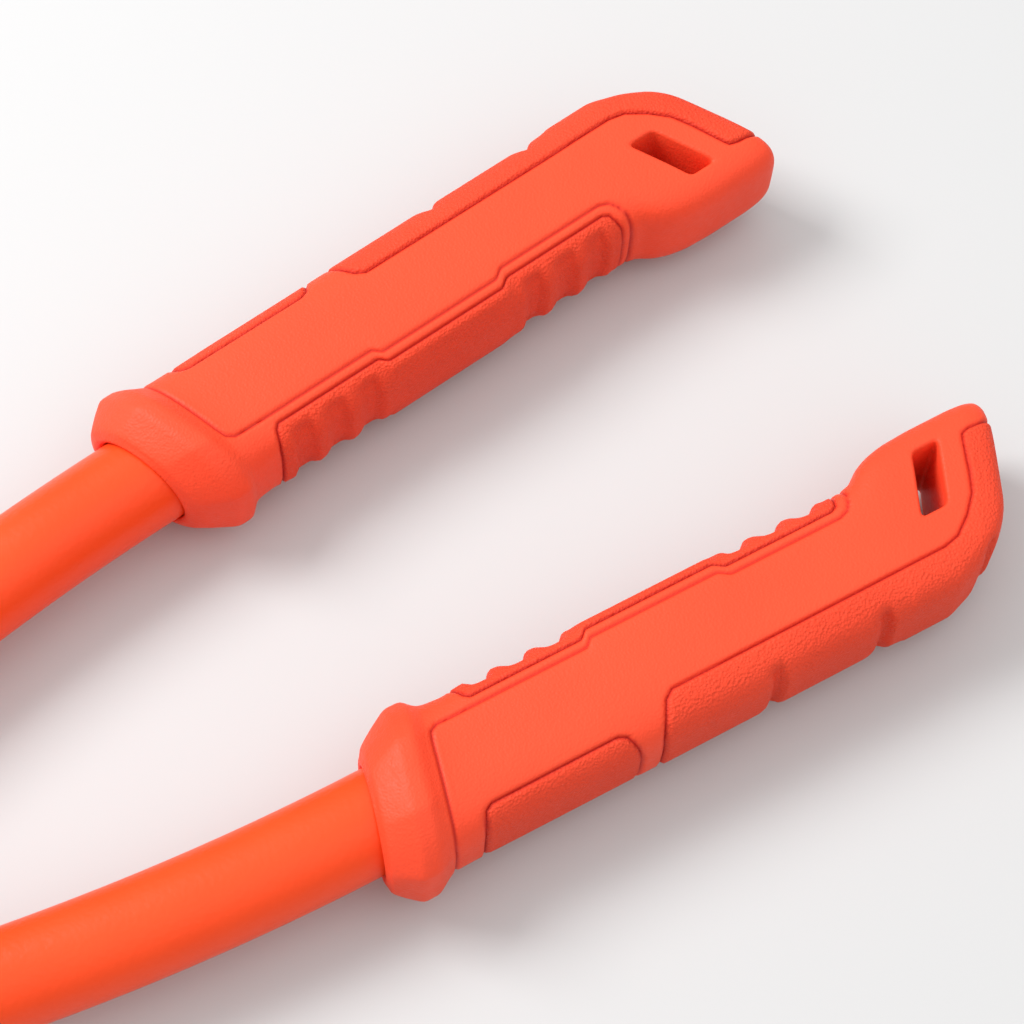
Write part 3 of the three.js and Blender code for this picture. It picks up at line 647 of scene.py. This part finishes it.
def cut_slot(bm):
    marks = bm.verts.layers.int["sheet"]
    columns = nearest(stations, SLOT_LOW), nearest(stations, SLOT_HIGH)
    first, last = nearest(face_rows, SLOT_INNER), nearest(face_rows, SLOT_OUTER)
    under = 2 * len(face_rows) + len(wall_rows) - 1
    rims = []
    for row_range in ((first, last), (under - last, under - first)):
        block = [face for face in bm.faces if all(
            row_range[0] <= vert[marks] // 1000 <= row_range[1] and columns[0] <= vert[marks] % 1000 <= columns[1]
            for vert in face.verts)]
        edges = ring_edges(block)
        bmesh.ops.delete(bm, geom=block, context="FACES")
        edges = [edge for edge in edges if edge.is_valid]
        for vert in {vert for edge in edges for vert in edge.verts}:
            vert.co = slot_point(vert, 0, 0)
        above = 0
        for inset, drop in RIM:
            edges = extrude_ring(bm, edges, lambda vert: slot_point(vert, inset, drop - above))
            above = drop
        rims += edges
    wall = bmesh.ops.bridge_loops(bm, edges=rims)["edges"]
    long_edges = [edge for edge in {e for f in bm.faces for e in f.edges} if edge.calc_length() > 12]
    bmesh.ops.subdivide_edges(bm, edges=long_edges, cuts=7, use_grid_fill=True)
    return len(wall)


print("bridged edges of the slot:", cut_slot(skin))

# %% [markdown]
# ### The pommel's end
# The end of a moulded grip is a blunt face with a hint of a crown, so that it leaves its mould. The open end
# of the sleeve is drawn in by three rings towards the middle and the last ring is filled.

# %% Close the pommel's end
def close_end(bm):
    edges = [edge for edge in bm.edges if edge.is_boundary and edge.verts[0].co.x > 150]
    middle_point = sum((edge.verts[0].co for edge in edges), Vector()) / len(edges)
    for share, rise in ((0.86, 0.1), (0.6, 0.06), (0.3, 0.03)):
        def place(vert):
            return middle_point + (vert.co - middle_point) * share + Vector((rise, 0, 0))
        edges = extrude_ring(bm, edges, place)
        middle_point = middle_point + Vector((rise, 0, 0))
    bmesh.ops.contextual_create(bm, geom=edges)


close_end(skin)
print("open edges left, all at the mouth:", sum(edge.is_boundary for edge in skin.edges))

# %% [markdown]
# ### Cutting the pads' outlines
# Each side of an outline is a vertical plane. Cutting only the squares beside that side, plane by plane,
# leaves a chain of edges exactly on the outline.

# %% Cut along the outlines
def cut_outline(bm, line):
    for (u0, v0), (u1, v1) in sides_of(line):
        across = Vector((v0 - v1, u1 - u0, 0)).normalized()
        near = [face for face in bm.faces if abs((face.verts[0].co - Vector((u0, v0, 0))).dot(across)) < 2]
        if not near:
            continue
        mids = np.array([face.calc_center_median()[:2] for face in near])
        away = distance_to([(u0, v0), (u1, v1)], mids[:, 0], mids[:, 1])
        near = [face for face, gap in zip(near, away) if gap < 1.3]
        geom = near + list({e for f in near for e in f.edges}) + list({v for f in near for v in f.verts})
        bmesh.ops.bisect_plane(bm, geom=geom, dist=0.04, plane_co=(u0, v0, 0), plane_no=across)


for outline in pad_lines.values():
    cut_outline(skin, outline)
print("with the outlines cut in:", len(skin.verts), "vertices")

# %% [markdown]
# ### Pressing the relief
# In a mould the grooves are thin ribs and the hollows are bosses that stand in the cavity. Here each corner
# of the skin sinks along its own normal by the relief at its place. The places are read before the jog is
# applied, so the lines stay simple in plan and step aside only at the end.

# %% Press the relief into the skin
def press(bm):
    """Moves the cut skin to its real shape, and marks each face with the pad it belongs to."""
    pad_mark = bm.faces.layers.int.new("pad")
    # a layer for the painted shade of the grooves
    painted_groove_shade = bm.verts.layers.float.new("painted_groove_shade")
    bm.faces.ensure_lookup_table()
    mids = np.array([face.calc_center_median() for face in bm.faces])
    for number, line in enumerate(pad_lines.values(), 1):
        for index in np.nonzero(inside(line, mids[:, 0], mids[:, 1]))[0]:
            bm.faces[index][pad_mark] = number
    places = np.array([vert.co for vert in bm.verts])
    depth = relief(*places.T)
    # each corner keeps how much painted shade its groove gets
    for vert, value in zip(bm.verts, painted_groove_shade_of(*places.T)):
        vert[painted_groove_shade] = value
    places[:, 1] += jog(places[:, 0], places[:, 1])
    for vert, place in zip(bm.verts, places):
        vert.co = place
    bm.normal_update()
    shifts = [vert.normal * float(sink) for vert, sink in zip(bm.verts, depth)]
    for vert, shift in zip(bm.verts, shifts):
        vert.co -= shift
    return pad_mark


press(skin)
print("pressed, top at", round(max(vert.co.z for vert in skin.verts), 2), "mm")

# %% [markdown]
# ### The mouth and the bore
# The collar's rim turns in to a lip, and the bore goes on inside, where the tube is. It has to be there,
# since one can look into the gap between lip and tube.

# %% Mouth and bore
TUBE_RADIUS = 14.0
BORE = TUBE_RADIUS + 0.3
BORE_END = 152.0
MOUTH = ((1.5, 16.6, 15.4), (1.3, 15.7, 14.95), (1.5, 14.9, 14.6), (2.1, BORE + 0.1, BORE + 0.1), (3.6, BORE, BORE),
         (60, BORE, BORE), (BORE_END, BORE, BORE))


def open_mouth(bm):
    edges = [edge for edge in bm.edges if edge.is_boundary]
    for at, wide, high in MOUTH:
        def place(vert):
            turn = math.atan2(vert.co.z, vert.co.y)
            across = wide * math.cos(turn)
            return Vector((at + float(lean(at)) * across, across, high * math.sin(turn)))
        edges = extrude_ring(bm, edges, place)
    bmesh.ops.contextual_create(bm, geom=edges)
    bmesh.ops.recalc_face_normals(bm, faces=bm.faces)


# %% [markdown]
# ## Body and pads from one skin
# The body keeps the whole skin, but sinks under each pad. A pad is the skin inside its outline, given a
# thickness. So every pad meets the body at the bottom of its groove and nowhere else.

# %% Split the skin into a body and three pads
UNDER_PAD = 1.1
PAD_THICKNESS = 0.75
PAD_MARKS = {name: number for number, name in enumerate(pad_lines, 1)}
SOFT = 80  # only edges sharper than this many degrees stay sharp on a moulding


def grip_body():
    bm = skin.copy()
    pad_mark = bm.faces.layers.int["pad"]
    bm.normal_update()
    covered = [vert for vert in bm.verts if all(face[pad_mark] for face in vert.link_faces)]
    shifts = [vert.normal * UNDER_PAD for vert in covered]
    for vert, shift in zip(covered, shifts):
        vert.co -= shift
    open_mouth(bm)
    return bm


def grip_pad(name):
    bm = skin.copy()
    pad_mark = bm.faces.layers.int["pad"]
    other = [face for face in bm.faces if face[pad_mark] != PAD_MARKS[name]]
    bmesh.ops.delete(bm, geom=other, context="FACES")
    inwards = bm.verts.layers.float_vector.new("inwards")
    bm.normal_update()
    for vert in bm.verts:
        vert[inwards] = vert.normal * -PAD_THICKNESS
    made = bmesh.ops.extrude_face_region(bm, geom=bm.faces[:], use_keep_orig=True)["geom"]
    for vert in [item for item in made if isinstance(item, bmesh.types.BMVert)]:
        vert.co += vert[inwards]
    bmesh.ops.recalc_face_normals(bm, faces=bm.faces)
    return bm


for side, sign in SIDES.items():
    body = f"{side}_handle"
    grip = keep(f"{side}_grip_body", grip_body(), grip_place, sign, body, [f"{side}_grip"],
                [MOULDED], SOFT)
    print(grip.name, len(grip.data.polygons), "faces")
    for name in pad_lines:
        piece = keep(f"{side}_{name}_skin", grip_pad(name), grip_place, sign, body, [f"{side}_{name}"],
                     [PEBBLED], SOFT)
        print(piece.name, len(piece.data.polygons), "faces")
skin.free()

# %% [markdown]
# ## Tubes
# A tube is drawn straight and bent once on a large former. Its wall is a ring that is extruded along the
# straight shank, spun round the bend's centre and extruded again into the grip.

# %% Tubes
TUBE_WALL = 2.0
BRACKET_REACH = 84.0
TUBE_IN_GRIP = 150.0


def handle_tube():
    bm = bmesh.new()
    quarter = Matrix.Rotation(math.pi / 2, 4, "Y")
    shells = []
    for radius in (TUBE_RADIUS, TUBE_RADIUS - TUBE_WALL):
        start = Matrix.Translation((BRACKET_REACH, 0, 0)) @ quarter
        ring = bmesh.ops.create_circle(bm, segments=64, radius=radius, matrix=start)["verts"]
        edges = list({edge for vert in ring for edge in vert.link_edges})
        shells.append(list(edges))
        for _ in range(4):
            edges = extrude_ring(bm, edges, lambda vert: vert.co + Vector(((shank_length - BRACKET_REACH) / 4, 0, 0)))
        spun = bmesh.ops.spin(bm, geom=edges, cent=(shank_length, -BEND_RADIUS, 0), axis=(0, 0, 1),
                              angle=-BEND_ANGLE, steps=40)["geom_last"]
        edges = [item for item in spun if isinstance(item, bmesh.types.BMEdge)]
        forward = Vector((math.cos(BEND_ANGLE), -math.sin(BEND_ANGLE), 0))
        for _ in range(6):
            edges = extrude_ring(bm, edges, lambda vert: vert.co + forward * (TUBE_IN_GRIP / 6))
        shells.append(edges)
    for near, far in ((0, 2), (1, 3)):
        bmesh.ops.bridge_loops(bm, edges=shells[near] + shells[far])
    bmesh.ops.recalc_face_normals(bm, faces=bm.faces)
    rims = [edge for edge in bm.edges if len(edge.link_faces) == 2 and edge.calc_face_angle(0) > 1]
    bmesh.ops.bevel(bm, geom=rims, offset=0.4, offset_type="OFFSET", segments=3, profile=0.5, affect="EDGES",
                    material=-1)
    return bm


for side, sign in SIDES.items():
    tube = keep(f"{side}_handle_tube", handle_tube(), shank_place, sign, f"{side}_handle", [f"{side}_tube"],
                [POWDER])
    print(tube.name, len(tube.data.polygons), "faces")

# %% [markdown]
# ## Forged and stamped steel
# Brackets, straps and jaws keep the shape of the frame, which already has their outlines, bores and ground
# flanks. What the frame lacks is the softness of a forging: every sharp edge is broken with a small bevel,
# after flat neighbours have been joined so that the bevel runs along whole edges.

# %% Steel with broken edges
BRACKET_EDGE, STRAP_EDGE, JAW_EDGE = 0.55, 0.3, 0.45  # bevel widths
FORGED_SHARP = 30
FLANK_SETBACK = 8  # the ground flanks end this far in front of the jaw's pivot
FLANK_REACH = 10


def softened(node, width, sharper_than=26):
    bm = bmesh.new()
    bm.from_mesh(frame["nodes"][node].data)
    bmesh.ops.scale(bm, vec=(1 / MM,) * 3, verts=bm.verts)
    bmesh.ops.remove_doubles(bm, verts=bm.verts, dist=2e-3)
    bmesh.ops.dissolve_limit(bm, angle_limit=math.radians(1), verts=bm.verts, edges=bm.edges)
    sharp = [edge for edge in bm.edges if edge.is_manifold and math.degrees(edge.calc_face_angle(0)) > sharper_than]
    bmesh.ops.bevel(bm, geom=sharp, offset=width, offset_type="OFFSET", segments=2, profile=0.5, affect="EDGES",
                    clamp_overlap=True, material=-1)
    bmesh.ops.recalc_face_normals(bm, faces=bm.faces)
    return bm


HERE = Matrix.Identity(4)
for side, sign in SIDES.items():
    keep(f"{side}_bracket_forging", softened(f"{side}_bracket", BRACKET_EDGE), HERE, 1, f"{side}_handle",
         [f"{side}_bracket"], [BLACK], FORGED_SHARP)
for level in ("top", "bottom"):
    keep(f"{level}_strap_plate", softened(f"{level}_strap", STRAP_EDGE), HERE, 1, "head", [f"{level}_strap"],
         [BLACK], FORGED_SHARP)
for side, sign in SIDES.items():
    forging = softened(f"{side}_jaw", JAW_EDGE)
    throat_x = jaw_pivot[side].x - FLANK_SETBACK
    for face in forging.faces:
        spot = face.calc_center_median()
        slanted = 0.25 < abs(face.normal.z) < 0.97 and face.normal.y * sign < 0
        face.material_index = int(spot.x < throat_x and abs(spot.y) < FLANK_REACH and slanted)
    jaw = keep(f"{side}_jaw_forging", forging, HERE, 1, f"{side}_jaw", [f"{side}_jaw"],
               [FORGED, GROUND], FORGED_SHARP)
    print(jaw.name, len(jaw.data.polygons), "faces")

# %% [markdown]
# ## Fasteners
# A hexagon head is a turned blank whose sides are milled flat, so its chamfer is a cone that the flats cut
# in six bows. Walking round a ring of 48 corners, the hexagon's radius gives each corner's place, and the
# cone's slope gives its height.

# %% Fastener makers, standing on Z
SEGMENTS = 48
BORE_CHAMFER = 0.6
BORE_PLAY = 0.15  # gap between a thread and its nut
CRISP = 25  # edges sharper than this many degrees stay sharp on turned steel


def add_ring(bm):
    made = bmesh.ops.create_circle(bm, segments=SEGMENTS, radius=1)["verts"]
    return list({edge for vert in made for edge in vert.link_edges})


def put(edges, ring):
    """Moves a loop of edges to a ring, which is a function from angle to (radius, z)."""
    for vert in {vert for edge in edges for vert in edge.verts}:
        radius, z = ring(math.atan2(vert.co.y, vert.co.x))
        flat = Vector((vert.co.x, vert.co.y, 0)).normalized() * radius
        vert.co = Vector((flat.x, flat.y, z))


def shaped_rings(bm, rings):
    """Runs one loop of edges through the rings and closes both ends."""
    edges = add_ring(bm)
    put(edges, rings[0])
    bmesh.ops.contextual_create(bm, geom=edges)
    for ring in rings[1:]:
        edges = extrude_ring(bm, edges, lambda vert: vert.co.copy())
        put(edges, ring)
    bmesh.ops.contextual_create(bm, geom=edges)
    bmesh.ops.recalc_face_normals(bm, faces=bm.faces)


def hexagon(across, turn):
    """Radius of a hexagon at an angle, with a corner at angle 0."""
    return across / 2 / math.cos(turn % (math.pi / 3) - math.pi / 6)


def hex_rings(across, low, high, low_cut):
    """Rings of a hexagonal block whose corners are cut by a cone at the top and, with low_cut, at the bottom."""
    free = across / 2 * 0.96
    slope = math.tan(math.radians(30))

    def cut(turn):
        return (hexagon(across, turn) - free) * slope

    top = [lambda turn: (hexagon(across, turn), high - cut(turn)), lambda turn: (free, high)]
    if low_cut:
        return [lambda turn: (free, low), lambda turn: (hexagon(across, turn), low + cut(turn)), *top]
    return [lambda turn: (hexagon(across, turn), low), *top]


def turned_rings(*stops):
    return [(lambda turn, r=radius, z=z: (r, z)) for radius, z in stops]


def thread_rings(radius, low, high, pitch=1.5):
    """Rings of a real helical thread from high down to low, run out at both ends."""
    rings = []
    count = int((high - low) / 0.3)
    for index in range(count + 1):
        z = high - (high - low) * index / count

        def ring(turn, z=z):
            phase = (z / pitch + turn / (2 * math.pi)) % 1
            fade = min(1, (high - z) / 0.5, (z - low) / 0.5)
            return radius - max(0, fade) * 0.7 * (1 - abs(2 * phase - 1)), z
        rings.append(ring)
    return rings


def hex_bolt(across, shank, head_top, seat, end):
    bm = bmesh.new()
    head = list(reversed(hex_rings(across, seat, head_top, False)))
    shaft = turned_rings((shank, seat)) + thread_rings(shank, end + 0.9, end + 7)
    shaped_rings(bm, [lambda turn: (across * 0.34, head_top - 0.25), lambda turn: (across * 0.4, head_top - 0.25),
                      *head, *shaft, *turned_rings((shank - 0.9, end))])
    return bm


def bored(outside, bore, low, high):
    """A ring shape whose outside follows the rings and whose bore has small chamfers."""
    bm = bmesh.new()
    cut = BORE_CHAMFER
    inside_rings = turned_rings((bore + cut, high), (bore, high - cut), (bore, low + cut), (bore + cut, low))
    edges = add_ring(bm)
    first = edges
    for number, ring in enumerate([*outside, *inside_rings]):
        if number:
            edges = extrude_ring(bm, edges, lambda vert: vert.co.copy())
        put(edges, ring)
    bmesh.ops.bridge_loops(bm, edges=first + edges)
    bmesh.ops.recalc_face_normals(bm, faces=bm.faces)
    return bm


trial = hex_bolt(19, 6, 6, 0, -40)
print("a bolt:", len(trial.verts), "vertices, open edges:", sum(not edge.is_manifold for edge in trial.edges))
trial.free()

# %% [markdown]
# Every fastener takes its height from its box in the frame: a bolt's box ends at the top of its head and at
# the tip of its thread, and the nut's box gives the nut. The stop screws lie on their side between the
# brackets, with their heads together at the centre line.

# %% Bolts, nuts and washers
def heights(node):
    low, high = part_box(node)
    return low.z / MM, high.z / MM


def across_flats(node):
    low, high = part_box(node)
    return min(high.x - low.x, high.y - low.y) / MM


def upright(node):
    spot = middle(node)
    return Matrix.Translation((spot.x, spot.y, 0))


bolts = [(f"{side}_{kind}", f"{side}_{body}" if body else "head", head, radius)
         for side in SIDES for kind, body, head, radius in (("jaw", "", 6, 6), ("link", "handle", 5.5, 5))]
bolts.append(("centre", "left_handle", 7.5, 6))
for name, body, head_height, radius in bolts:
    bolt_node, nut_node = f"{name}_bolt", f"{name}_nut"
    low, high = heights(bolt_node)
    across = across_flats(nut_node)
    bolt = keep(f"{name}_hex_bolt", hex_bolt(across, radius, high, high - head_height, low), upright(bolt_node), 1,
                body, [bolt_node], [ZINC], CRISP)
    nut_low, nut_high = heights(nut_node)
    rings = hex_rings(across, nut_low, nut_high, True)
    keep(f"{name}_hex_nut", bored(rings, radius + BORE_PLAY, nut_low, nut_high), upright(nut_node), 1, body, [nut_node],
         [ZINC], CRISP)
print(bolt.name, [round(side / MM, 1) for side in bolt.dimensions])

for level in ("top", "bottom"):
    low, high = heights(f"{level}_washer")
    outer = across_flats(f"{level}_washer") / 2
    rim = turned_rings((outer - 0.35, low), (outer, low + 0.35), (outer, high - 0.35), (outer - 0.35, high))
    keep(f"{level}_flat_washer", bored(rim, 6.2, low, high), upright(f"{level}_washer"), 1, "left_handle",
         [f"{level}_washer"], [ZINC], CRISP)

# %% [markdown]
# A stop screw is turned with a low round head, which takes the blow when the handles close. A rivet is a
# thin shank with a dome at either end, drawn as half a profile and its mirror image.

# %% Stop screws and rivets
STOP_SCREW_RADIUS = 4
STOP_NUT_FLATS = 13
DOME_RISE = 1.9

for side, sign in SIDES.items():
    for kind in ("screw", "nut"):
        node = f"{side}_stop_{kind}"
        low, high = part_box(node)
        near, far = sorted((abs(low.y), abs(high.y)))
        near, far = near / MM, far / MM
        lying = Matrix.Translation((middle(node).x, 0, MID_Z)) @ Matrix.Rotation(-math.pi / 2, 4, "X")
        if kind == "screw":
            bm = bmesh.new()
            head = turned_rings((4.6, near), (5.6, near + 0.12), (6.1, near + 0.5), (6.2, near + 1), (6.2, near + 3.6),
                                (5.8, near + 4), (4, near + 4))
            thread = thread_rings(STOP_SCREW_RADIUS, near + 4.1, far - 1, 1.25)
            shaped_rings(bm, head + list(reversed(thread)) + turned_rings((3.2, far)))
        else:
            bm = bored(hex_rings(STOP_NUT_FLATS, near, far, True), STOP_SCREW_RADIUS + BORE_PLAY, near, far)
        keep(f"{side}_stop_{kind}_turned", bm, lying, sign, f"{side}_handle", [node], [ZINC], CRISP)
    for row in ("front", "rear"):
        node = f"{side}_{row}_rivet"
        low, high = heights(node)
        crown, reach = (high - low) / 2, across_flats(node) / 2
        bm = bmesh.new()
        dome = [(reach * math.sin(turn), crown - DOME_RISE * (1 - math.cos(turn)))
                for turn in (math.radians(angle) for angle in (8, 22, 38, 54, 70, 84, 90))]
        half = dome + [(reach, TUBE_RADIUS - 0.9), (3, TUBE_RADIUS - 1)]
        shaped_rings(bm, turned_rings(*half, *[(radius, -z) for radius, z in reversed(half)]))
        keep(f"{side}_{row}_rivet_domed", bm, Matrix.Translation(middle(node)), 1, f"{side}_handle", [node],
             [ZINC], CRISP)

# %% [markdown]
# ## Studio
# A pale floor, a dome that is bright overhead and dimmer at the horizon, and two large soft lights, as for a
# product shot. The camera looks down on the grips, which is where the hand meets the tool.

# %% Floor, lights and camera
FLOOR_GREY = 0.56
DOME_LOW, DOME_HIGH = 0.2, 1.3
SENSOR, LENS = 36, 109.6
AZIMUTH, ELEVATION, ROLL = 51.30, 63.70, 5.69  # degrees; the elevation is how far the camera looks down
CAMERA_PLACE = (-0.0683, -0.3038, 0.8007)  # metres, like the lights


def area_light(name, place, target, size, power):
    data = bpy.data.lights.new(name, "AREA")
    data.size, data.energy = size, power
    lamp = bpy.data.objects.new(name, data)
    lamp.location = place
    lamp.rotation_euler = (Vector(target) - Vector(place)).to_track_quat("-Z", "Y").to_euler()
    bpy.context.scene.collection.objects.link(lamp)


floor_mesh = bmesh.new()
bmesh.ops.create_grid(floor_mesh, x_segments=8, y_segments=8, size=6)
floor_data = bpy.data.meshes.new("floor")
floor_mesh.to_mesh(floor_data)
floor_mesh.free()
floor = bpy.data.objects.new("floor", floor_data)
bpy.context.scene.collection.objects.link(floor)
floor_material, floor_shader = new_material("floor_pale", (FLOOR_GREY,) * 3, 0.8)
floor_shader.inputs["Specular IOR Level"].default_value = 0.1
floor_data.materials.append(floor_material)
floor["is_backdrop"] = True

world = bpy.data.worlds.new("studio")
bpy.context.scene.world = world
world.use_nodes = True
sky = world.node_tree
direction = sky.nodes.new("ShaderNodeTexCoord")
split = sky.nodes.new("ShaderNodeSeparateXYZ")
sky.links.new(direction.outputs["Generated"], split.inputs["Vector"])
dome = sky.nodes.new("ShaderNodeMapRange")
dome.inputs["To Min"].default_value = DOME_LOW
dome.inputs["To Max"].default_value = DOME_HIGH
sky.links.new(split.outputs["Z"], dome.inputs["Value"])
sky.links.new(dome.outputs["Result"], sky.nodes["Background"].inputs["Strength"])
sky.nodes["Background"].inputs["Color"].default_value = (1, 1, 1, 1)
area_light("key", (-0.6, 1.0, 1.3), (0.1, 0, 0), 0.8, 30)
area_light("fill", (0.9, -1.0, 1.6), (0.1, 0, 0), 1.6, 4)

camera_data = bpy.data.cameras.new("camera")
camera_data.sensor_width = SENSOR
camera_data.lens = LENS
camera = bpy.data.objects.new("camera", camera_data)
azimuth, elevation, roll = (math.radians(angle) for angle in (AZIMUTH, ELEVATION, ROLL))
looking = Vector((math.cos(elevation) * math.cos(azimuth), math.cos(elevation) * math.sin(azimuth),
                  -math.sin(elevation)))
across = looking.cross(Vector((0, 0, 1))).normalized()
upward = across.cross(looking)
tilted = Matrix((across * math.cos(roll) + upward * math.sin(roll),
                 upward * math.cos(roll) - across * math.sin(roll), -looking)).transposed()
camera.matrix_world = Matrix.Translation(CAMERA_PLACE) @ tilted.to_4x4()
bpy.context.scene.collection.objects.link(camera)
bpy.context.scene.camera = camera
bpy.context.scene.view_settings.view_transform = "Standard"

# %% [markdown]
# ## Sizes
# The box round every piece that is shown, the floor left out, is printed in millimetres.

# %% Sizes
low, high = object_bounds()
print("visual size in mm:", [round(side / MM, 1) for side in high - low])
